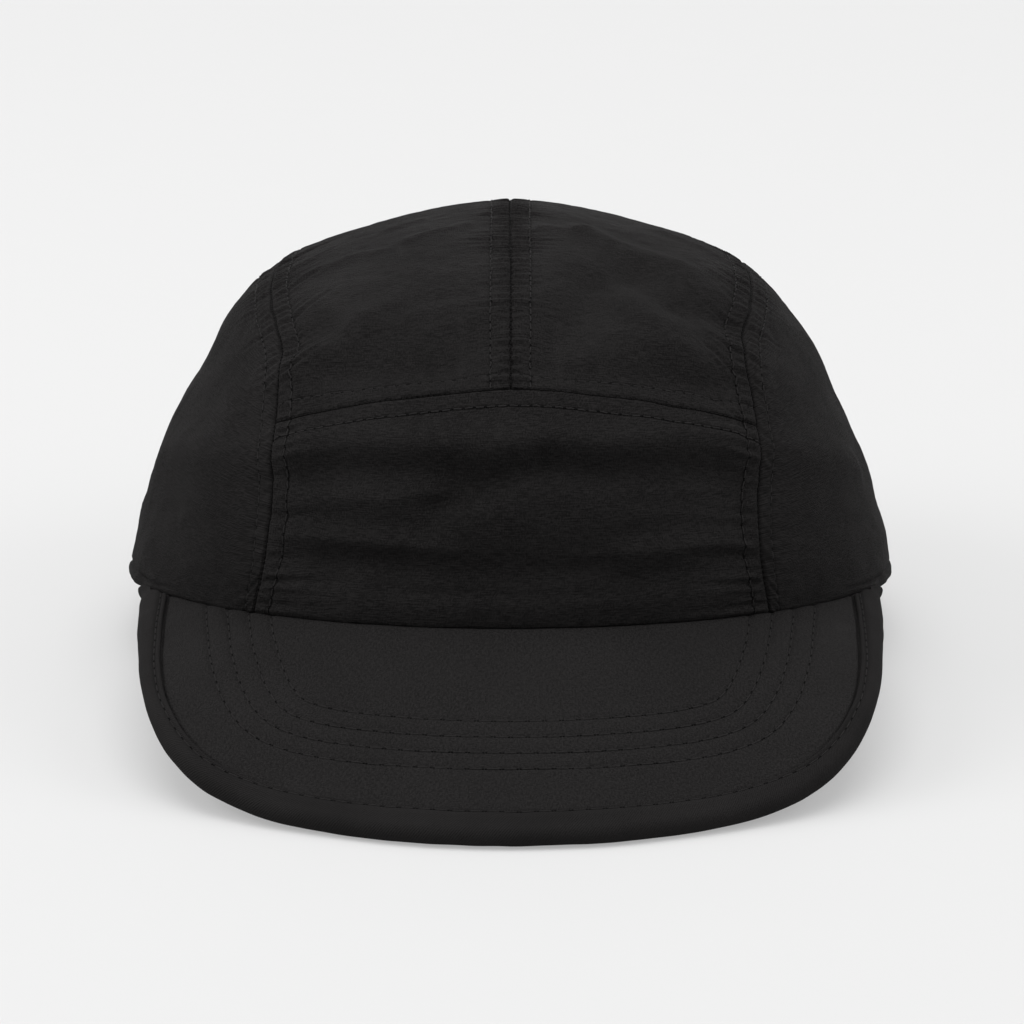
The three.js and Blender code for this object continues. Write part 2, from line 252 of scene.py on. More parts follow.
# The stage: floor, point that the camera and the lights face, and softboxes with their places,
# their sizes, and their power as a share of a setting
FLOOR_HALF, FLOOR_HEIGHT = 4.0, -0.0002
TARGET = (0, 0.0087, 0.03535)
SENSOR_WIDTH = 36
CAMERA_SHIFT = 1.5 / 1024
SOFTBOXES = (
    ("softbox_over", (0, -0.05, 1.85), (1.8, 1.2), "key_power", 1),
    ("softbox_behind", (0, 1.7, 0.75), (2.4, 1.0), "back_power", 1),
    ("softbox_left", (-1.5, -0.2, 0.9), (1.2, 1.2), "side_power", 1.8),
    ("softbox_right", (1.5, -0.2, 0.9), (1.2, 1.2), "side_power", 1),
)

# Threads of the closed seams, near black so that they paint the shade in each seam's ditch: how far
# from the edge they lie, and one stitch of them
SHUT_DEPTH = 0.00004
SHUT_LENGTH = 0.0013
SHUT_THICKNESS = 0.0004
SEAM_DITCH_SHADE_COLOUR = "#0a0909"

# Wear, width of the streaks along the weft and strength of the rubbed patches of the nylon
CROWN_WEAVE = (0.36, 0.4, 0.4)
PEAK_WEAVE = (0.28, 1.4, 0.25)

# Faint shine of cloth fibres, on the shader of nylon and of tape
FIBRE_SHINE = {"IOR": 1.5, "Specular IOR Level": 0.02, "Sheen Weight": 0.004,
               "Sheen Roughness": 0.4}


def linear(code):
    """Linear red, green and blue of an sRGB hex value."""
    shares = [int(code[place:place + 2], 16) / 255 for place in (1, 3, 5)]
    return [share / 12.92 if share <= 0.04045 else ((share + 0.055) / 1.055) ** 2.4
            for share in shares]


def smooth(share):
    """Smooth step from 0 to 1: three times the square less twice the cube."""
    share = np.clip(share, 0, 1)
    return share * share * (3 - 2 * share)


def bump(distance, width):
    """Bell curve: 1 at no distance, falling with the square of distance over width."""
    return np.exp(-(distance / width) ** 2)


def unit(vectors):
    """Vectors divided by their own lengths."""
    return vectors / np.linalg.norm(vectors, axis=-1, keepdims=True)


def spaced(count, ends):
    """Shares from 0 to 1 whose steps at both ends are a share of the even step: the even shares
    less a sine wave."""
    share = even(count)
    return share - (1 - ends) * np.sin(2 * np.pi * share) / (2 * np.pi)


def lattice(across, up):
    """Two lists of values spread over a grid, the first along its first axis."""
    return np.meshgrid(across, up, indexing="ij")


def even(count):
    """Even shares from 0 to 1."""
    return np.linspace(0, 1, count + 1)


def walked(points):
    """Length walked along the first axis of a grid of points, from its first point."""
    steps = np.linalg.norm(np.diff(points, axis=0), axis=-1)
    return np.concatenate([np.zeros_like(steps[:1]), np.cumsum(steps, axis=0)])


def wander(place, spacing, seed):
    """Chance values from -1 to 1 along a length: seeded values at even spacing, joined by smooth
    steps."""
    values = np.random.default_rng(seed).uniform(-1, 1, 256)
    cell = np.floor(place / spacing).astype(int)
    share = smooth(place / spacing - cell)
    return values[cell % 256] * (1 - share) + values[(cell + 1) % 256] * share


def crumple(across, up, size, seed):
    """Chance heights from -1 to 1 over a sheet: seeded values at the corners of square cells,
    joined by smooth steps both ways."""
    values = np.random.default_rng(seed).uniform(-1, 1, (256, 256))
    column, row = np.floor(across / size).astype(int), np.floor(up / size).astype(int)
    right, above = smooth(across / size - column), smooth(up / size - row)
    corner = lambda i, j: values[(column + i) % 256, (row + j) % 256]
    low = corner(0, 0) * (1 - right) + corner(1, 0) * right
    high = corner(0, 1) * (1 - right) + corner(1, 1) * right
    return low * (1 - above) + high * above


def creased(across, up, layers, seed):
    """Chance heights of a cloth: the sum of its layers, each with a height, a size and a stretch
    of its cells sideways, and a seed of its own."""
    return sum(height * crumple(across, up * stretch, size, seed + place)
               for place, (height, size, stretch) in enumerate(layers))


def read_table(table, column, place):
    """A column of a table at places in its first column, along a cubic through the rows whose
    slope at a row is that of the chord between the rows beside it."""
    rows = np.asarray(table, float)
    keys, values = rows[:, 0], rows[:, column]
    before = np.concatenate([[0], np.arange(len(keys) - 1)])
    after = np.minimum(np.arange(len(keys)) + 1, len(keys) - 1)
    slopes = (values[after] - values[before]) / (keys[after] - keys[before])
    place = np.clip(place, keys[0], keys[-1])
    low = np.clip(np.searchsorted(keys, place, side="right") - 1, 0, len(keys) - 2)
    span = keys[low + 1] - keys[low]
    share = (place - keys[low]) / span
    start, end = slopes[low] * span, slopes[low + 1] * span
    climb = values[low + 1] - values[low]
    return values[low] + share * (start + share * (
        3 * climb - 2 * start - end + share * (start + end - 2 * climb)))


def rim_plane(y):
    """Height of the rim, which falls in a straight line from the front to the back."""
    return FRONT_RIM_HEIGHT * (REAR_REACH - y) / (FRONT_REACH + REAR_REACH)


def direction_at(bearing, rise):
    """Unit direction at a bearing from the front, towards +X, and a rise, in degrees."""
    bearing, rise = np.broadcast_arrays(np.radians(bearing), np.radians(rise))
    level = np.cos(rise)
    return np.stack([level * np.sin(bearing), -level * np.cos(bearing), np.sin(rise)], -1)


def dome_point(direction):
    """Point of the smooth crown: a half ellipsoid over the rim, whose width and reach are
    multiplied by the swell read from the sections."""
    x, y, z = np.moveaxis(direction, -1, 0)
    level = np.hypot(x, y)
    forward = -y / np.maximum(level, 1e-9)
    rise = np.degrees(np.arcsin(np.clip(z, 0, 1)))
    is_front = forward > 0
    reach = np.where(is_front, FRONT_REACH, REAR_REACH)
    side = read_table(SECTIONS, 1, rise)
    end = np.where(is_front, read_table(SECTIONS, 2, rise), read_table(SECTIONS, 3, rise))
    spread = side + (end - side) * forward * forward
    rim = rim_plane(-reach * forward)
    return np.stack([CROWN_WIDTH / 2 * x * spread,
                     TOP_SETBACK * (1 - level) + reach * y * spread,
                     rim + (CROWN_HEIGHT - rim) * z], -1)


def outward_at(direction):
    """Way out of the smooth crown: square to two short steps over it, and level at the rim."""
    step = 0.001
    helper = np.where(direction[..., 2:] < 0.9, (0.0, 0.0, 1.0), (0.0, 1.0, 0.0))
    across = unit(np.cross(helper, direction))
    along = np.cross(direction, across)
    here = dome_point(direction)
    right = dome_point(unit(direction + step * across)) - here
    above = dome_point(unit(direction + step * along)) - here
    outward = unit(np.cross(right, above))
    outward[..., 2] *= smooth(direction[..., 2] / math.sin(math.radians(LEVEL_START)))
    return unit(outward)


def fold_relief(direction, table, strength):
    """Lift of the cloth by its folds: for each path a bell curve of the distance from the nearest
    point of its straight legs, times the swell, and nothing at the rim."""
    lift = np.zeros(direction.shape[:-1])
    for width, swell, *path in table:
        corners = direction_at(*np.transpose(path))
        nearest = np.full(lift.shape, np.inf)
        for start, end in zip(corners[:-1], corners[1:]):
            leg = end - start
            share = np.clip((direction - start) @ leg / (leg @ leg), 0, 1)
            foot = unit(start + share[..., None] * leg)
            nearest = np.minimum(nearest, np.linalg.norm(foot - direction, axis=-1))
        lift += strength * swell * CROWN_WIDTH * bump(nearest / 2, width)
    return lift * smooth(direction[..., 2] / math.sin(math.radians(FOLD_START)))


def strip_direction(across, turn):
    """Direction of the crown's point that lies across from the middle line, at a turn in degrees
    from the front of the rim over the top. The share sideways is corrected until it settles."""
    across, turn = np.broadcast_arrays(across, np.radians(turn))
    sideways = across / (CROWN_WIDTH / 2)
    for _ in range(9):
        lengthwise = np.sqrt(1 - sideways * sideways)
        direction = np.stack([sideways, -lengthwise * np.cos(turn),
                              np.maximum(lengthwise * np.sin(turn), 0)], -1)
        reached = dome_point(direction)[..., 0]
        settled = np.abs(reached) < 1e-9
        sideways = sideways * np.where(settled, 1, across / np.where(settled, 1, reached))
    return direction


def side_seam_half(turn, side):
    """Distance of a side seam from the middle line at a turn: its share of the width, and the
    stray of that side."""
    stray = np.where(side < 0, read_table(SEAM_STRAY, 1, turn), read_table(SEAM_STRAY, 2, turn))
    return (FRONT_PANEL_WIDTH / 2 * read_table(SIDE_SEAM, 1, turn) + stray
            + 0.0001 * wander(turn, 3.3, 5))


def cross_seam(share):
    """Turn of the arched seam, which dips with the distance from the middle line, is rounded
    there, and wanders a little."""
    arch = CROSS_SEAM_DIP * (np.hypot(share, CROSS_SEAM_ROUND) - CROSS_SEAM_ROUND)
    return CROSS_SEAM_TURN - arch + 0.12 * wander(share, 0.11, 7) * smooth(10 * np.abs(share))


def front_directions(gap):
    """Directions of the front panel: left to right, then from the rim to its seam."""
    along, up = lattice(*[spaced(count, 0.6) for count in FRONT_GRID])
    share = 2 * along - 1
    turn = up * (cross_seam(share) - math.degrees(gap / CROWN_WIDTH))
    return strip_direction(share * (side_seam_half(turn, share) - gap / 2), turn)


def top_directions(side, gap):
    """Directions of a top panel: from the middle seam outwards, then from the arched seam over
    the top to the back of the rim."""
    share, up = lattice(spaced(TOP_GRID[0], 0.45), even(TOP_GRID[1]))
    start = cross_seam(side * share) + math.degrees(gap / CROWN_WIDTH)
    turn = start + (180 - start) * up
    return strip_direction(side * (gap / 2 + share * (side_seam_half(turn, side) - gap)), turn)


def side_directions(side, gap):
    """Directions of a side panel: from the front to the back, then from the rim to the seam,
    along straight lines between the two that are put back to unit length."""
    share, up = lattice(even(SIDE_GRID[0]), spaced(SIDE_GRID[1], 0.45))
    turn = 180 * even(SIDE_GRID[0])
    seam = strip_direction(side_seam_half(turn, side) + gap / 2, turn)
    bearing = np.degrees(np.arctan2(seam[[0, -1], 0], -seam[[0, -1], 1]))
    rim = direction_at(bearing[0] + (bearing[1] - bearing[0]) * share, 0)
    direction = unit(rim + (seam[:, None] - rim) * up[..., None])
    return direction * (side, 1, 1)


def seen_from(grid, edge):
    """A grid turned so that its first axis runs away from one of its edges."""
    return {"left": grid, "right": grid[::-1], "bottom": grid.swapaxes(0, 1),
            "top": grid[:, ::-1].swapaxes(0, 1)}[edge]


def walked_up(points):
    """Length walked along the second axis of a grid of points."""
    return walked(points.swapaxes(0, 1)).swapaxes(0, 1)


def seam_relief(sewing, seed, reach, height, slant=0.0, drawn=1.0, flat=0.0008, uneven=0.8,
                start=0.0, way=1):
    """Lift of the cloth beside a topstitched seam, as a function of the distance away from it and
    of the length along it: a narrow ditch, which the stitches inside it draw in at even steps, a
    band over the allowance, a groove under the row of stitches, and two sine waves of uneven
    height, whose sum fades away from the seam as a bell curve, may slant, and starts past the
    flat cloth at the seam. The length is counted from the start, one way or the other."""
    row = sewing.seam_margin
    length = 1.12 * sewing.stitch_length

    def relief(away, along):
        along = start + way * along
        drawn_in = DITCH_DEPTH + DITCH_DEPTH / 3 * np.sin(2 * np.pi * along / DITCH_STEP)
        ditch = drawn * drawn_in * bump(away, DITCH_WIDTH)
        band = (ALLOWANCE_LIFT * smooth((away - 0.0003) / 0.0006)
                * (1 - smooth((away - row + 0.001) / 0.001)))
        groove = drawn * GROOVE_DEPTH * bump(away - row, GROOVE_WIDTH)
        place = along - slant * np.maximum(away - row, 0) + 0.0011 * wander(along, 0.0093, seed)
        wave = (np.sin(2 * np.pi * place / length)
                + uneven * np.sin(2 * np.pi * place / (1.71 * length) + 1))
        strength = 0.7 + 0.3 * wander(place, 0.0071, seed + 1)
        run = reach * (0.6 + 0.4 * wander(place, 0.0043, seed + 2))
        rise = height(along) if callable(height) else height
        puckers = sewing.pucker_height * rise * wave * strength * bump(away, run)
        return band - ditch - groove + puckers * smooth(away / flat)
    return relief


def rim_relief(hem, way=1):
    """Lift of the cloth near the rim, as a function of the distance away from it and of the
    length along it: its lower edge rolls under as a quarter round, and where the hem shows, it
    stands out below a crease."""
    def relief(away, along):
        turned = ROLL_DEPTH * (1 - np.sqrt(1 - np.clip(1 - away / ROLL, 0, 1) ** 2))
        crease = HEM_CREASE_DEPTH * bump(away - HEM_CREASE_AT, 0.0005)
        lip = HEM_LIP * (1 - smooth((away - 0.0019) / 0.0008))
        waves = 0.00025 * wander(way * along, 0.006, 71) * (1 - smooth((away - 0.002) / 0.006))
        return hem * (lip + waves - crease) - turned
    return relief


def crown_cloth(directions, sewing, edges, seed, hang=0):
    """Outer and inner sheet of a panel, its outward ways and its map of the weave. directions has
    the grid at the outer and at the inner face, and edges gives each sewn edge its relief. The
    cloth hangs over the rim by a length that fades to nothing upwards as a smooth step."""
    outer_way, inner_way = directions
    outward = outward_at(outer_way)
    folded = dome_point(outer_way) + outward * fold_relief(
        outer_way, FOLDS + CREASES, sewing.fold_depth)[..., None]
    across, up = walked(folded), walked_up(folded)
    relief = creased(across, up, CROWN_CREASES, seed)
    for edge, relief_at in edges.items():
        points = seen_from(folded, edge)
        seen_from(relief, edge)[...] += relief_at(walked(points), walked(points[0])[None])
    lowered = (hang * (1 - smooth(up / 0.01)))[..., None] * (0, 0, -1)
    outer = folded + outward * relief[..., None] + lowered
    inward = outward_at(inner_way) * (
        fold_relief(inner_way, FOLDS, sewing.fold_depth) - CLOTH)[..., None]
    return outer, dome_point(inner_way) + inward + lowered, outward, np.stack([across, up], -1)


def closed_body(name, outer, inner, weave, is_mirrored=False, is_ring=False, thin=4):
    """Object with one closed mesh between two sheets of points: quads over both, and walls along
    their borders. A ring has no walls at its ends, which meet. Points of the inner sheet move to
    the nearest of every few, and doubled points are merged, which thins that sheet."""
    nearest = [np.minimum((np.arange(count) + thin // 2) // thin * thin, count - 1)
               for count in inner.shape[:2]]
    inner, weave_under = inner[np.ix_(*nearest)], weave[np.ix_(*nearest)]
    index = np.arange(outer[..., 0].size).reshape(outer.shape[:2])
    under = index + index.size
    quads = lambda *corners: np.stack(corners, -1).reshape(-1, 4)
    faces = [
        quads(index[:-1, :-1], index[1:, :-1], index[1:, 1:], index[:-1, 1:]),
        quads(under[:-1, :-1], under[:-1, 1:], under[1:, 1:], under[1:, :-1]),
        quads(under[:-1, 0], under[1:, 0], index[1:, 0], index[:-1, 0]),
        quads(index[:-1, -1], index[1:, -1], under[1:, -1], under[:-1, -1]),
    ]
    if not is_ring:
        faces.append(quads(under[0, :-1], index[0, :-1], index[0, 1:], under[0, 1:]))
        faces.append(quads(index[-1, :-1], under[-1, :-1], under[-1, 1:], index[-1, 1:]))
    faces = np.concatenate(faces)
    if is_mirrored:
        faces = faces[:, ::-1]
    points = np.concatenate([outer.reshape(-1, 3), inner.reshape(-1, 3)])
    both = np.concatenate([weave.reshape(-1, 2), weave_under.reshape(-1, 2)])
    return finished_object(name, points, faces, both)


def placed(name, data):
    """Object of some data, in the scene."""
    made = bpy.data.objects.new(name, data)
    bpy.context.scene.collection.objects.link(made)
    return made


def finished_object(name, points, faces, weave):
    """Object at the origin with a smooth mesh, moved from the middle of the rim to the frame's
    origin. The map of the weave counts millimetres of cloth."""
    to_origin = (0, (PEAK_LENGTH + NOSE_RADIUS + FRONT_REACH - REAR_REACH) / 2, 0)
    mesh = bpy.data.meshes.new(name)
    mesh.from_pydata(points + to_origin, [], faces)
    corners = np.empty(len(mesh.loops), np.int32)
    mesh.loops.foreach_get("vertex_index", corners)
    layer = mesh.uv_layers.new(name="weave")
    layer.uv.foreach_set("vector", (1000 * weave[corners]).astype(np.float32).ravel())
    shape = bmesh.new()
    shape.from_mesh(mesh)
    bmesh.ops.remove_doubles(shape, verts=shape.verts, dist=1e-6)
    shape.to_mesh(mesh)
    shape.free()
    mesh.shade_smooth()
    mesh.set_sharp_from_angle(angle=math.radians(65))
    return placed(name, mesh)


def dress(piece, material, slot, *nodes):
    """Gives a piece its material, ties it to the cap and hides the solids it replaces. The slot is
    not used.
    """
    piece.data.materials.append(material)
    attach(piece, "root")
    if nodes:
        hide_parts(*nodes)


def line_at(grid, outward, away, distance):
    """Line of points and outward ways where the distance away from the first edge of a grid
    reaches a value, by straight shares between the points before and after. Rows that never
    reach it are left out."""
    low = np.clip((away < distance).sum(0) - 1, 0, len(away) - 2)
    pick = lambda values, row: np.take_along_axis(
        values, row.reshape((1, -1) + (1,) * (values.ndim - 2)), 0)[0]
    before, after = pick(away, low), pick(away, low + 1)
    share = np.clip((distance - before) / np.maximum(after - before, 1e-9), 0, 1)[:, None]
    line = pick(grid, low) * (1 - share) + pick(grid, low + 1) * share
    way = pick(outward, low) * (1 - share) + pick(outward, low + 1) * share
    reached = (away[-1] > distance) & (away[0] <= distance)
    return line[reached], unit(way[reached])


def stitches(name, lines, length, thickness, material, slot):
    """Object with the stitches along lines. Each is a thread of five sides whose middle keeps above
    the cloth between two needle holes, at the greater of its line and its chord, and bulges
    outwards as a half sine. Its ends widen to the size of the needle holes and sink a little, and
    its material paints them dark as painted shade of the holes. Its map counts the share along it,
    from which the material reads that painted shade."""
    share = np.array(STITCH_RINGS)[None, :, None]
    middles, ways = [], []
    for line, way in lines:
        place = walked(line)
        count = int(place[-1] // length)
        if count < 1:
            continue
        at = np.arange(count)[:, None] + STITCH_GAP + (1 - 2 * STITCH_GAP) * share[..., 0]
        at *= place[-1] / count
        read = lambda values: np.stack([np.interp(at, place, part) for part in values.T], -1)
        thread, out = read(line), unit(read(way))
        chord = thread[:, :1] + (thread[:, -1:] - thread[:, :1]) * share
        spare = ((chord - thread) * out).sum(-1, keepdims=True)
        middles.append(thread + out * np.maximum(spare, 0))
        ways.append(out)
    middle, way = (np.concatenate(part)[:, :, None] for part in (middles, ways))
    share = share[..., None]
    turn = np.linspace(0, 2 * np.pi, STITCH_SIDES, endpoint=False)[None, None, :, None]
    rise = np.sin(np.pi * share)
    # Ends widened to the needle holes, which the thread's material paints dark as painted shade.
    hole = smooth((np.abs(share - 0.5) - HOLE_START) / HOLE_RAMP)
    across = unit(np.cross(middle[:, -1:] - middle[:, :1], way))
    middle = middle + way * thickness * (0.38 * rise - 0.06 - 0.14 * hole)
    radius = thickness / 2 * (0.8 + 0.2 * rise + 0.55 * hole)
    points = middle + radius * (np.cos(turn) * across + np.sin(turn) * way)
    count, rings, sides = points.shape[:3]
    index = np.arange(points[..., 0].size).reshape(count, rings, sides)
    turned = np.roll(index, -1, axis=2)
    quads = np.stack([index[:, :-1], index[:, 1:], turned[:, 1:], turned[:, :-1]], -1)
    faces = quads.reshape(-1, 4).tolist()
    faces += index[:, 0].tolist() + index[:, -1, ::-1].tolist()
    weave = np.zeros(points.shape[:3] + (2,))
    weave[..., 0] = share[..., 0] / 1000
    piece = finished_object(name, points.reshape(-1, 3), faces, weave.reshape(-1, 2))
    dress(piece, material, slot)


def add_node(tree, kind, settings=None, inputs=None):
    """A node of a kind with its settings, and with each input linked to a socket or set."""
    made = tree.nodes.new(kind)
    for name, value in (settings or {}).items():
        setattr(made, name, value)
    for name, value in (inputs or {}).items():
        if isinstance(value, bpy.types.NodeSocket):
            tree.links.new(value, made.inputs[name])
        else:
            made.inputs[name].default_value = value
    return made


def new_material(name):
    """An empty material of a name, its tree, and the place on the object."""
    material = bpy.data.materials.new(name)
    material.use_nodes = True
    tree = material.node_tree
    tree.nodes.clear()
    return material, tree, add_node(tree, "ShaderNodeTexCoord").outputs["Object"]


def cloth_map(tree):
    """The map of the weave, in millimetres of cloth, or along a stitch."""
    return add_node(tree, "ShaderNodeUVMap", {"uv_map": "weave"}).outputs[0]


def noise(tree, vector, scale, detail, roughness=0.5, dimensions="3D"):
    """Strength of cloudy noise at a vector."""
    return add_node(tree, "ShaderNodeTexNoise", {"noise_dimensions": dimensions}, {
        "Vector": vector, "Scale": scale, "Detail": detail, "Roughness": roughness}).outputs[0]


def maths(tree, operation, *values):
    """Result of an operation on sockets and numbers."""
    return add_node(tree, "ShaderNodeMath", {"operation": operation},
                    dict(enumerate(values))).outputs[0]


def ranged(tree, value, low, high, start=0.0, end=1.0):
    """A value moved from one range to another, and kept inside it."""
    return add_node(tree, "ShaderNodeMapRange", inputs={
        "Value": value, "From Min": low, "From Max": high,
        "To Min": start, "To Max": end}).outputs[0]


def times(colour, factor):
    """A colour times a factor, with its alpha."""
    return (*[part * factor for part in colour], 1)


def mixed(tree, share, first, second):
    """Mix of two colours by a share."""
    return add_node(tree, "ShaderNodeMix", {"data_type": "RGBA"}, {
        0: share, 6: first, 7: second}).outputs[2]


def raised(tree, height, depth):
    """Way out of a surface in which a height is raised by a depth in metres."""
    return add_node(tree, "ShaderNodeBump", inputs={
        "Height": height, "Distance": depth, "Strength": 1.0}).outputs[0]


def surfaced(material, inputs):
    """The material, with a shader of these inputs on its output."""
    tree = material.node_tree
    shader = add_node(tree, "ShaderNodeBsdfPrincipled", inputs=inputs)
    add_node(tree, "ShaderNodeOutputMaterial", inputs={"Surface": shader.outputs[0]})
    return material


def woven_nylon(name, colour, wear, weft, patches):
    """Woven nylon, washed. Matt black cloth whose uneven yarns show as fine streaks both ways,
    lighter where it is rubbed and where its fibres catch light at a grazing angle. The yarns are
    0.2 mm apart on the real cloth and drawn 0.35 mm apart, so that they show."""
    material, tree, place = new_material(name)
    weave = cloth_map(tree)
    yarns = []
    for scale in ((weft, 3.0, 1), (3.0, 1.2, 1)):
        stretched = add_node(tree, "ShaderNodeMapping", inputs={
            "Vector": weave, "Scale": scale}).outputs[0]
        yarns.append(noise(tree, stretched, 1.0, 2.0, 0.6, "2D"))
    height = maths(tree, "ADD", *yarns)
    rubbed = noise(tree, place, 38.0, 5.0, 0.62)
    worn = maths(tree, "MULTIPLY_ADD", rubbed, patches, height)
    tone = ranged(tree, worn, 0.8 + patches / 2, 1.2 + patches / 2)
    return surfaced(material, {
        "Base Color": mixed(tree, tone, times(colour, 1 - wear), times(colour, 1 + wear)),
        "Roughness": ranged(tree, rubbed, 0.3, 0.7, 0.86, 0.7),
        "Normal": raised(tree, height, 0.00032), **FIBRE_SHINE})


def twill_tape(name, colour, rib):
    """Cotton and nylon tape in a twill weave. Matt, with fine slanting ribs that catch light. The
    ribs are 0.4 mm apart on the real tape and are drawn at rib millimetres."""
    material, tree, place = new_material(name)
    weave = cloth_map(tree)
    slanted = add_node(tree, "ShaderNodeMapping", inputs={
        "Vector": weave, "Rotation": (0, 0, math.radians(38))}).outputs[0]
    ribs = add_node(tree, "ShaderNodeTexWave", {"wave_type": "BANDS", "bands_direction": "X"}, {
        "Vector": slanted, "Scale": math.pi / (10 * rib), "Distortion": 1.6, "Detail": 2.0,
        "Detail Scale": 1.5}).outputs[1]
    fibres = noise(tree, weave, 2.6, 3.0, 0.65, "2D")
    height = maths(tree, "MULTIPLY_ADD", ribs, 0.45, fibres)
    worn = maths(tree, "ADD", height, noise(tree, place, 45.0, 4.0))
    tone = ranged(tree, worn, 0.9, 1.5)
    return surfaced(material, {
        "Base Color": mixed(tree, tone, times(colour, 0.78), times(colour, 1.25)),
        "Roughness": 0.85, "Normal": raised(tree, height, 0.00025), **FIBRE_SHINE})


def polyester_thread(name, colour):
    """Polyester sewing thread, spun. A little smoother than the cloth, so that each stitch has a
    light line along it, and painted dark towards both of its ends, as painted shade where it dives
    into its needle hole."""
    material, tree, place = new_material(name)
    share = add_node(tree, "ShaderNodeSeparateXYZ", inputs={0: cloth_map(tree)}).outputs[0]
    off_middle = maths(tree, "ABSOLUTE", maths(tree, "SUBTRACT", share, 0.5))
    spun = mixed(tree, noise(tree, place, 700.0, 2.0), times(colour, 0.8), times(colour, 1.7))
    # Painted shade: the colour falls to a tenth towards both ends of each stitch, where the needle
    # holes are.
    painted_hole_shade = ranged(tree, off_middle, 0.35, 0.4)
    return surfaced(material, {
        "Base Color": mixed(tree, painted_hole_shade, spun, times(colour, 0.1)),
        "Roughness": 0.7, "IOR": 1.5, "Specular IOR Level": 0.04})


def light_table(name, colour, glow):
    """Opal acrylic, sanded matt and lit from below. Pale and even, with soft shadows that its own
    light fills, and a faint grain in its tone."""
    material, tree, place = new_material(name)
    grain = noise(tree, place, 60.0, 3.0)
    return surfaced(material, {
        "Base Color": mixed(tree, grain, times(colour, 0.99), times(colour, 1)),
        "Roughness": 1.0, "Specular IOR Level": 0.0,
        "Emission Color": (1, 1, 1, 1), "Emission Strength": glow})


def kept_material(name, make, colour, *values):
    """The material of a name, made once by its function from a colour and other values."""
    return bpy.data.materials.get(name) or make(name, tuple(colour), *values)


def beyond_rim(bearing, beyond, drop):
    """Point out from the rim along its bearing, at a drop under the plane of the rim."""
    rim = dome_point(direction_at(bearing, 0))
    flat = rim[..., :2] * (1 + beyond / np.hypot(rim[..., 0], rim[..., 1]))[..., None]
    return np.concatenate([flat, (rim_plane(flat[..., 1]) - drop)[..., None]], -1)


def edge_share(column, bearing):
    """Share in a column of the peak's edge at a bearing to either side."""
    return read_table(PEAK_EDGE, column, np.abs(bearing))


def board_middle(bearing, share):
    """Middle of the peak's board: a straight line from its edge to the seam at the rim."""
    reach = PEAK_LENGTH * edge_share(1, bearing)
    front_drop = rim_plane(-FRONT_REACH - PEAK_LENGTH) - NOSE_RADIUS
    drop = front_drop * edge_share(2, bearing)
    edge = beyond_rim(bearing, reach, drop)
    seam = beyond_rim(bearing, np.minimum(0, reach - PEAK_LIP), SEAM_GAP + BOARD / 2)
    return edge + (seam - edge) * share[..., None]


def board_up(bearing, share):
    """Way up out of the board, square to two short steps over it."""
    step = 0.01
    share = np.minimum(share, 0.97)
    here = board_middle(bearing, share)
    right = board_middle(bearing + step, share) - here
    inward = board_middle(bearing, share + step) - here
    return unit(np.cross(right, inward))


def peak_grid():
    """Bearings and shares of the way in over the peak, its middle and its ways up, and the
    distance of each point from the edge, as the least over the edge's nearby points, with the
    column of the nearest."""
    spread = np.linspace(-1, 1, PEAK_GRID[0] + 1)
    bearing, share = lattice(PEAK_END * spread, even(PEAK_GRID[1]))
    middle = board_middle(bearing, share)
    away = np.full(share.shape, np.inf)
    nearest = np.zeros(share.shape, int)
    for offset in NEARBY_COLUMNS:
        column = np.clip(np.arange(len(spread)) + offset, 0, len(spread) - 1)[:, None]
        distance = np.linalg.norm(middle - middle[column, 0], axis=-1)
        nearest = np.where(distance < away, column, nearest)
        away = np.minimum(away, distance)
    return bearing, share, middle, board_up(bearing, share), away, nearest


def end_taper(bearing):
    """Thickness of the lower half of the peak as a share: it thins towards both of its ends,
    which are tucked under the hem, by a smooth step."""
    return 1 - 0.65 * smooth((np.abs(bearing) - 63) / 8)


def tape_inset(peak, bearing, edge, outward):
    """Distance from the edge of the board to the inner edge of the tape, square to the edge: its
    width, measured towards the seam, times the sine of the angle between the two."""
    tangent = unit(np.gradient(edge, axis=0))
    square = np.linalg.norm(np.cross(tangent, outward), axis=-1)
    return peak.tape_width * edge_share(3, bearing), square


def colour_setting(name, description, code):
    """Entry of a settings group for a colour, from its sRGB hex value."""
    return bpy.props.FloatVectorProperty(name=name, description=description, subtype="COLOR",
                                         default=linear(code), min=0, max=1)


def length_setting(name, description, default, low, high):
    """Entry of a settings group for a length in metres."""
    return bpy.props.FloatProperty(name=name, description=description, default=default,
                                   min=low, max=high, unit="LENGTH")


def power_setting(name, description, default):
    """Entry of a settings group for the power of a light in watts."""
    return bpy.props.FloatProperty(name=name, description=description, default=default,
                                   min=0, max=500, unit="POWER")


class CapSewingSettings(bpy.types.PropertyGroup):
    """Sizes and colours of the sewn crown"""
    cloth_colour: colour_setting("Crown cloth", "Colour of the crown's nylon", "#1a1919")
    thread_colour: colour_setting("Thread", "Colour of the sewing thread", "#1e1d1d")
    band_colour: colour_setting("Sweatband", "Colour of the tape inside the rim", "#1b1a1a")
    seam_margin: length_setting(
        "Seam margin", "From a seam to its row of stitches", 0.0047, 0.002, 0.008)
    stitch_length: length_setting(
        "Stitch length", "From one needle hole to the next", 0.0026, 0.0015, 0.005)
    thread_thickness: length_setting(
        "Thread thickness", "Thickness of the sewing thread", 0.00034, 0.0002, 0.0008)
    pucker_height: length_setting(
        "Pucker height", "How far the cloth gathers up along a seam", 0.0003, 0, 0.0006)
    fold_depth: bpy.props.FloatProperty(
        name="Fold depth", description="Strength of the folds, as a share of the solids' folds",
        default=1, min=0, max=1.2, subtype="FACTOR")


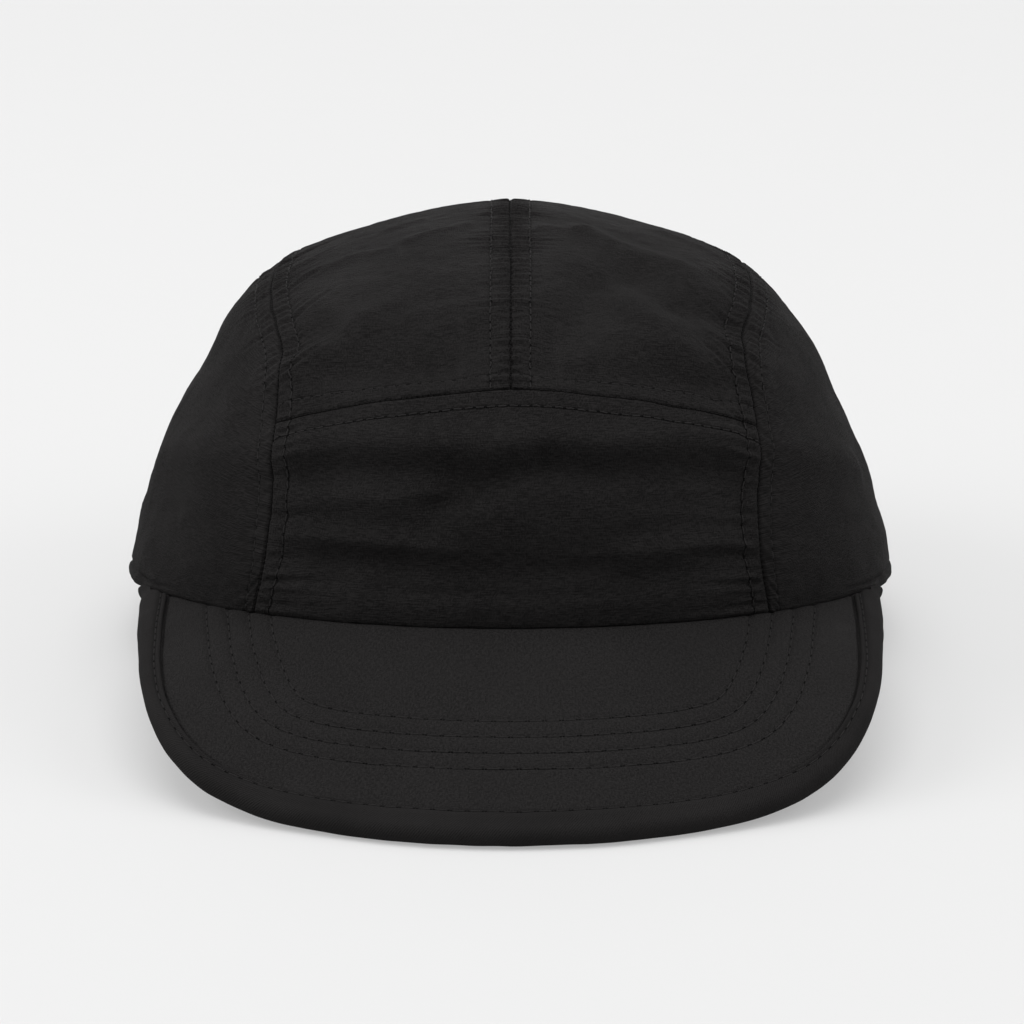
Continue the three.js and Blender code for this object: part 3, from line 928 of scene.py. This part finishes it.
class CapPeakSettings(bpy.types.PropertyGroup):
    """Sizes and colours of the peak"""
    cloth_colour: colour_setting("Peak cloth", "Colour of the peak's nylon", "#1e1d1d")
    tape_colour: colour_setting("Edge tape", "Colour of the tape round the edge", "#1d1c1c")
    rows: bpy.props.IntProperty(
        name="Rows", description="Rows of stitches over the peak", default=4, min=1, max=7)
    first_row: length_setting(
        "First row", "From the edge at the sides to the outermost row", 0.015, 0.006, 0.03)
    row_spacing: length_setting(
        "Row spacing", "From one row of stitches to the next", 0.005, 0.003, 0.008)
    front_margin: length_setting(
        "Front margin", "How much further the rows keep from the edge in front", 0.004, 0, 0.01)
    stitch_length: length_setting(
        "Stitch length", "From one needle hole to the next", 0.0038, 0.002, 0.006)
    tape_width: length_setting(
        "Tape width", "Width of the tape on top of the board in front", 0.006, 0.003, 0.01)


class CapStageSettings(bpy.types.PropertyGroup):
    """Floor, light and camera"""
    floor_colour: colour_setting("Floor", "Colour of the floor", "#959595")
    floor_glow: bpy.props.FloatProperty(
        name="Floor light", description="Strength of the light from below the floor",
        default=0.345, min=0, max=2)
    sky_strength: bpy.props.FloatProperty(
        name="Room light", description="Strength of the even light all round",
        default=0.8, min=0, max=5)
    key_power: power_setting("Softbox", "Power of the softbox overhead", 23)
    side_power: power_setting("Side softboxes", "Power of the softbox on each side", 10)
    back_power: power_setting("Back softbox", "Power of the softbox behind the cap", 10)
    camera_distance: length_setting(
        "Camera distance", "From the camera to the middle of the cap", 1.3, 0.5, 4)
    camera_elevation: bpy.props.FloatProperty(
        name="Camera elevation", description="How far the camera looks down",
        default=math.radians(17.2), min=0, max=math.pi / 2, subtype="ANGLE")
    lens: bpy.props.FloatProperty(
        name="Lens", description="Focal length in millimetres on a 36 mm sensor",
        default=190.125, min=20, max=400)


def sew_rows(name, lines, length, slot, sewing):
    """Object with rows of stitches in the cap's thread."""
    thread = kept_material("polyester_thread", polyester_thread, sewing.thread_colour)
    stitches(name, lines, length, sewing.thread_thickness, thread, slot)


def seam_start(side):
    """Length of a side seam from the rim to the arched seam."""
    turn = np.linspace(0, cross_seam(side), 60)
    return walked(dome_point(strip_direction(side_seam_half(turn, side), turn)))[-1]


def sew_panel(name, directions, edges, rows, shut, sewing, seed, is_mirrored=False, hang=0):
    """One panel of the crown: its cloth over the solid of that name, a row of stitches along each
    of the edges in rows, and along those in shut the thread that closes the seam just under the
    surface, near black as painted shade in the seam's ditch. edges gives each edge its relief."""
    outer, inner, outward, weave = crown_cloth(directions, sewing, edges, seed, hang)
    cloth = kept_material("woven_nylon", woven_nylon, sewing.cloth_colour, *CROWN_WEAVE)
    dress(closed_body(name + "_cloth", outer, inner, weave, is_mirrored), cloth, "crown_cloth",
          name)

    def lines(chosen, distance):
        return [line_at(seen_from(outer, edge), seen_from(outward, edge),
                        walked(seen_from(outer, edge)), distance) for edge in chosen]

    sew_rows(name + "_stitches", lines(rows, sewing.seam_margin), sewing.stitch_length,
             "crown_cloth", sewing)
    if shut:
        # Near black thread in the seam: painted shade of its ditch.
        dark = kept_material("black_seam_thread", polyester_thread, linear(SEAM_DITCH_SHADE_COLOUR))
        stitches(name + "_seam", lines(shut, SHUT_DEPTH), SHUT_LENGTH, SHUT_THICKNESS, dark,
                 "crown_cloth")


class CAP_OT_front_panel(bpy.types.Operator):
    """Sews the front panel, from the rim up to the arched seam"""
    bl_idname = "cap.front_panel"
    bl_label = "Front panel"

    def execute(self, context):
        sewing = context.scene.cap_sewing
        sewn = ("left", "right", "top")
        sew_panel("front_panel", [front_directions(gap) for gap in (SEAM_SLIT, 0)], {
            "left": seam_relief(sewing, LEFT_SEAM, 0.017, 1, flat=0.003),
            "right": seam_relief(sewing, RIGHT_SEAM, 0.02, 1.1, flat=0.003),
            "top": seam_relief(sewing, CROSS_SEAM, 0.006, 0.4, start=-ARCH_HALF),
            "bottom": rim_relief(0),
        }, sewn, sewn, sewing, 101, hang=OVERHANG)
        return {"FINISHED"}


class CAP_OT_top_panels(bpy.types.Operator):
    """Sews the two top panels, from the arched seam over the top to the back of the rim"""
    bl_idname = "cap.top_panels"
    bl_label = "Top panels"

    def execute(self, context):
        sewing = context.scene.cap_sewing
        for side, name, seed in SIDES:
            sew_panel("top_panel_" + name, [top_directions(side, gap) for gap in (SEAM_SLIT, 0)], {
                "left": seam_relief(sewing, MIDDLE_SEAM, 0.0075, 1.9, drawn=0.5, flat=0.0003,
                                    uneven=0.3),
                "right": seam_relief(sewing, seed, 0.014, 1.2, 0.6, flat=0.0016,
                                     start=seam_start(side)),
                "bottom": seam_relief(sewing, CROSS_SEAM, 0.006, 0.45, way=side),
                "top": rim_relief(1, side),
            }, ("left", "right", "bottom"), ("left", "right") if side > 0 else ("right",),
                sewing, 200 + seed, side < 0)
        return {"FINISHED"}


class CAP_OT_side_panels(bpy.types.Operator):
    """Sews the two half-moon side panels, between the rim and the side seams"""
    bl_idname = "cap.side_panels"
    bl_label = "Side panels"

    def execute(self, context):
        sewing = context.scene.cap_sewing
        for side, name, seed in SIDES:
            ways = [side_directions(side, gap) for gap in (SEAM_SLIT, 0)]
            start = seam_start(side)
            bearing = np.degrees(np.arctan2(np.abs(ways[0][:, 0, 0]), -ways[0][:, 0, 1]))
            # The hem shows beside the peak and behind it, droops beside it, and the panel's
            # overhang fades to nothing at the back
            hem = smooth((bearing - 56) / 16)[None]
            droop = hem[0] * (1 - smooth((bearing - 98) / 40))
            fade = 1 - smooth((bearing - 120) / 50)
            hang = (HEM_DROOP * droop + OVERHANG * fade)[:, None]
            gathered = lambda along: 0.45 + 0.4 * smooth((along - start) / 0.015)
            sew_panel("side_panel_" + name, ways, {
                "top": seam_relief(sewing, seed, 0.01, gathered, 0.3, flat=0.0015),
                "bottom": rim_relief(hem),
            }, ("top",), (), sewing, 300 + seed, side < 0, hang)
        return {"FINISHED"}


class CAP_OT_sweatband(bpy.types.Operator):
    """Makes the tape inside the rim, with the row that sews it to the crown"""
    bl_idname = "cap.sweatband"
    bl_label = "Sweatband"

    def execute(self, context):
        sewing = context.scene.cap_sewing
        tape = kept_material("twill_sweatband", twill_tape, sewing.band_colour, 0.8)
        along, up = lattice(*[even(count) for count in BAND_GRID])
        bearing = 360 * along
        rim = dome_point(direction_at(bearing, 0))
        rise = np.degrees(np.arcsin(up * BAND_HEIGHT / (CROWN_HEIGHT - rim[..., 2])))
        way = direction_at(bearing, rise)
        outward = outward_at(way)
        depth = CLOTH + SEAM_GAP + BAND_LEAN * np.minimum(up * 4, 1)
        ripple = 0.0003 * np.sin(2 * np.pi * bearing / 24) * smooth((up - 0.3) / 0.7)
        near = dome_point(way) - outward * (depth + ripple)[..., None]
        round_edge = 0.00035 * bump(BAND_HEIGHT * (1 - up), 0.0012)
        far = near - outward * (BAND_THICKNESS - round_edge)[..., None]
        weave = np.stack([walked(rim), up * BAND_HEIGHT], -1)
        band = closed_body("sweatband_tape", near, far, weave, is_ring=True)
        dress(band, tape, "band_tape", "sweatband")
        row = line_at(far.swapaxes(0, 1), -outward.swapaxes(0, 1), BAND_HEIGHT * up.T, 0.004)
        sew_rows("sweatband_stitches", [row], sewing.stitch_length, "band_tape", sewing)
        return {"FINISHED"}


class CAP_OT_peak(bpy.types.Operator):
    """Covers the peak's board with cloth and sews rows over it, further in towards the front"""
    bl_idname = "cap.peak"
    bl_label = "Peak"

    def execute(self, context):
        sewing, peak = context.scene.cap_sewing, context.scene.cap_peak
        cloth = kept_material("woven_nylon_peak", woven_nylon, peak.cloth_colour, *PEAK_WEAVE)
        bearing, share, middle, upward, away, nearest = peak_grid()
        inset = peak.first_row + peak.front_margin * (1 - smooth(np.abs(bearing) / 38))
        rows = [away - inset - row * peak.row_spacing for row in range(peak.rows)]
        relief = -ROW_DEPTH * sum(bump(row, ROW_WIDTH) for row in rows)
        quilted = smooth((rows[0] + 0.003) / 0.003) * (1 - smooth(rows[-1] / 0.003))
        phase = np.pi * rows[0] / peak.row_spacing
        relief += QUILTING * quilted * np.sin(phase) ** 2
        relief += creased(middle[..., 0] + 1, middle[..., 1] + 1, PEAK_CREASES, 41)
        width, square = tape_inset(peak, bearing[:, 0], middle[:, 0],
                                   unit(middle[:, 0] - middle[:, 1]))
        beside_tape = away - (width * square)[nearest]
        sides = smooth((np.abs(bearing) - 18) / 14)
        relief -= TAPE_DITCH * sides * bump(beside_tape - 0.0001, DITCH_WIDTH)
        tucked = beyond_rim(bearing[:, :1], -PEAK_TUCK, SEAM_GAP + BOARD / 2 + 0 * share[:, :1])
        sheets = []
        for way, lift in ((1, relief), (-1, 0.6 * relief)):
            taper = end_taper(bearing) if way < 0 else 1
            sheet = middle + way * upward * (taper * (BOARD / 2 + lift))[..., None]
            level = unit(np.array([0, FRONT_RIM_HEIGHT / (FRONT_REACH + REAR_REACH), 1]))
            sheets.append(np.concatenate([sheet, tucked + way * level * BOARD / 2], 1))
        flat = np.concatenate([middle, tucked], 1)
        body = closed_body("peak_cloth_cover", sheets[0], sheets[1], flat[..., :2] + 1)
        dress(body, cloth, "peak_cloth", "peak")
        lines = [line_at(sheet[:, :-1].swapaxes(0, 1), way * upward.swapaxes(0, 1), row.T, 0)
                 for way, sheet in zip((1, -1), sheets) for row in rows]
        sew_rows("peak_stitches", lines, peak.stitch_length, "peak_cloth", sewing)
        return {"FINISHED"}


class CAP_OT_peak_binding(bpy.types.Operator):
    """Folds the tape round the edge of the peak and sews it down"""
    bl_idname = "cap.peak_binding"
    bl_label = "Peak binding"

    def execute(self, context):
        sewing, peak = context.scene.cap_sewing, context.scene.cap_peak
        tape = kept_material("twill_binding", twill_tape, peak.tape_colour, 0.5)
        bearing = (BINDING_END + 2) * np.linspace(-1, 1, BINDING_COLUMNS + 1)
        zero = np.zeros_like(bearing)
        edge, seam = board_middle(bearing, zero), board_middle(bearing, zero + 1)
        length = np.linalg.norm(edge - seam, axis=-1)
        outward = (edge - seam) / length[:, None]
        full_width, square = tape_inset(peak, bearing, edge, outward)
        width = np.minimum(full_width, length - SEAM_GAP)
        under, nose, over = BINDING_ROWS
        place = np.concatenate([np.linspace(1, 0, under + 1), np.zeros(nose - 1),
                                np.linspace(0, 1, over + 1)])
        angle = np.concatenate([np.full(under + 1, -90.0), np.linspace(-90, 90, nose + 1)[1:-1],
                                np.full(over + 1, 90.0)])
        columns, angle = lattice(bearing, np.radians(angle))
        into = width[:, None] * place[None]
        inset = (full_width[:, None] - into) * square[:, None]
        middle = board_middle(columns, into / length[:, None])
        upward = board_up(columns, into / length[:, None])
        is_over = smooth(angle / math.radians(60))
        sides = smooth((np.abs(columns) - 20) / 12)
        row = TAPE_ROW * (1 + sides) / 2
        settle = TAPE_SETTLE * (1 - smooth(inset / 0.003)) * is_over * (place > 0)[None]
        ridge = TAPE_RIDGE * bump(inset - 0.0005, TAPE_FOLD_WIDTH) * sides * is_over
        groove = TAPE_GROOVE * bump(inset - row, TAPE_FOLD_WIDTH) * is_over
        along = walked(edge)[:, None] + 0 * into
        waves = 0.00012 * crumple(along, into + 0.003 * angle, 0.005, 51)
        outer_radius = NOSE_RADIUS - settle + ridge - groove + waves * smooth(inset / 0.001)
        pressed = 1 - 0.5 * smooth((np.abs(columns) - 62) / 7)
        upright = np.sin(angle) * np.where(angle < 0, end_taper(columns), 1)
        sheets = [middle + radius * ((pressed * np.cos(angle))[..., None] * outward[:, None]
                                     + upright[..., None] * upward)
                  for radius in (outer_radius[..., None], NOSE_RADIUS - BINDING_THICKNESS)]
        weave = np.stack([along, walked_up(sheets[0])], -1)
        body = closed_body("peak_binding_tape", sheets[0], sheets[1], weave)
        dress(body, tape, "binding_tape", "peak_binding")
        lines = []
        for edge_name, way in (("top", 1), ("bottom", -1)):
            sheet = seen_from(sheets[0], edge_name)
            away = np.maximum.accumulate(seen_from(inset, edge_name))
            lines.append(line_at(sheet, way * seen_from(upward, edge_name),
                                 away - seen_from(row, edge_name)[0], 0))
        sew_rows("peak_binding_stitches", lines, peak.stitch_length, "binding_tape", sewing)
        return {"FINISHED"}


class CAP_OT_stage(bpy.types.Operator):
    """Lays the pale floor, hangs the soft lights and sets up the camera"""
    bl_idname = "cap.stage"
    bl_label = "Stage"

    def execute(self, context):
        scene, stage = context.scene, context.scene.cap_stage
        mesh = bpy.data.meshes.new("floor")
        corners = ((-1, -1), (1, -1), (1, 1), (-1, 1))
        mesh.from_pydata([(FLOOR_HALF * x, FLOOR_HALF * y, FLOOR_HEIGHT) for x, y in corners],
                         [], [(0, 1, 2, 3)])
        mesh.materials.append(
            kept_material("opal_acrylic", light_table, stage.floor_colour, stage.floor_glow))
        floor = placed("floor", mesh)

        room = bpy.data.worlds.new("soft_room")
        room.use_nodes = True
        sky = room.node_tree.nodes["Background"]
        sky.inputs["Color"].default_value = (1, 1, 1, 1)
        sky.inputs["Strength"].default_value = stage.sky_strength
        scene.world = room

        target = Vector(TARGET)
        for name, place, size, setting, share in SOFTBOXES:
            lamp = bpy.data.lights.new(name, "AREA")
            lamp.shape, lamp.energy = "RECTANGLE", share * getattr(stage, setting)
            lamp.size, lamp.size_y = size
            softbox = placed(name, lamp)
            softbox.location = place
            softbox.rotation_euler = (target - Vector(place)).to_track_quat("-Z", "Y").to_euler()

        tilt = stage.camera_elevation
        away = Vector((0, -math.cos(tilt), math.sin(tilt))) * stage.camera_distance
        view = bpy.data.cameras.new("camera")
        view.sensor_width, view.lens = SENSOR_WIDTH, stage.lens
        view.shift_x = CAMERA_SHIFT
        view.clip_start, view.clip_end = 0.05, 50
        camera = placed("camera", view)
        camera.location = target + away
        camera.rotation_euler = (math.pi / 2 - tilt, 0, 0)
        scene.camera = camera
        scene.view_settings.view_transform = "Standard"
        return {"FINISHED"}


class CAP_PT_tools(bpy.types.Panel):
    """Lists the pieces of the cap with their sizes and colours"""
    bl_idname = "CAP_PT_tools"
    bl_label = "Five panel cap"
    bl_space_type = "VIEW_3D"
    bl_region_type = "UI"
    bl_category = "Cap"

    def draw(self, context):
        for settings, operators in ((context.scene.cap_stage, (CAP_OT_stage,)),
                                    (context.scene.cap_sewing, CROWN_OPERATORS),
                                    (context.scene.cap_peak, PEAK_OPERATORS)):
            box = self.layout.box()
            for name in settings.bl_rna.properties.keys():
                if name not in ("rna_type", "name"):
                    box.prop(settings, name)
            for operator in operators:
                box.operator(operator.bl_idname)


CROWN_OPERATORS = (CAP_OT_front_panel, CAP_OT_top_panels, CAP_OT_side_panels, CAP_OT_sweatband)
PEAK_OPERATORS = (CAP_OT_peak, CAP_OT_peak_binding)
SETTINGS = {"cap_stage": CapStageSettings, "cap_sewing": CapSewingSettings,
            "cap_peak": CapPeakSettings}
CLASSES = (*SETTINGS.values(), CAP_OT_stage, *CROWN_OPERATORS, *PEAK_OPERATORS, CAP_PT_tools)


def register():
    for kind in CLASSES:
        bpy.utils.register_class(kind)
    for name, kind in SETTINGS.items():
        setattr(bpy.types.Scene, name, bpy.props.PointerProperty(type=kind))


def unregister():
    for name in SETTINGS:
        delattr(bpy.types.Scene, name)
    for kind in reversed(CLASSES):
        bpy.utils.unregister_class(kind)


def main():
    """Registers the cap's settings and tools, then makes the stage and each piece in order."""
    register()
    bpy.ops.cap.stage()
    bpy.ops.cap.front_panel()
    bpy.ops.cap.top_panels()
    bpy.ops.cap.side_panels()
    bpy.ops.cap.sweatband()
    bpy.ops.cap.peak()
    bpy.ops.cap.peak_binding()


if __name__ == "__main__":
    main()
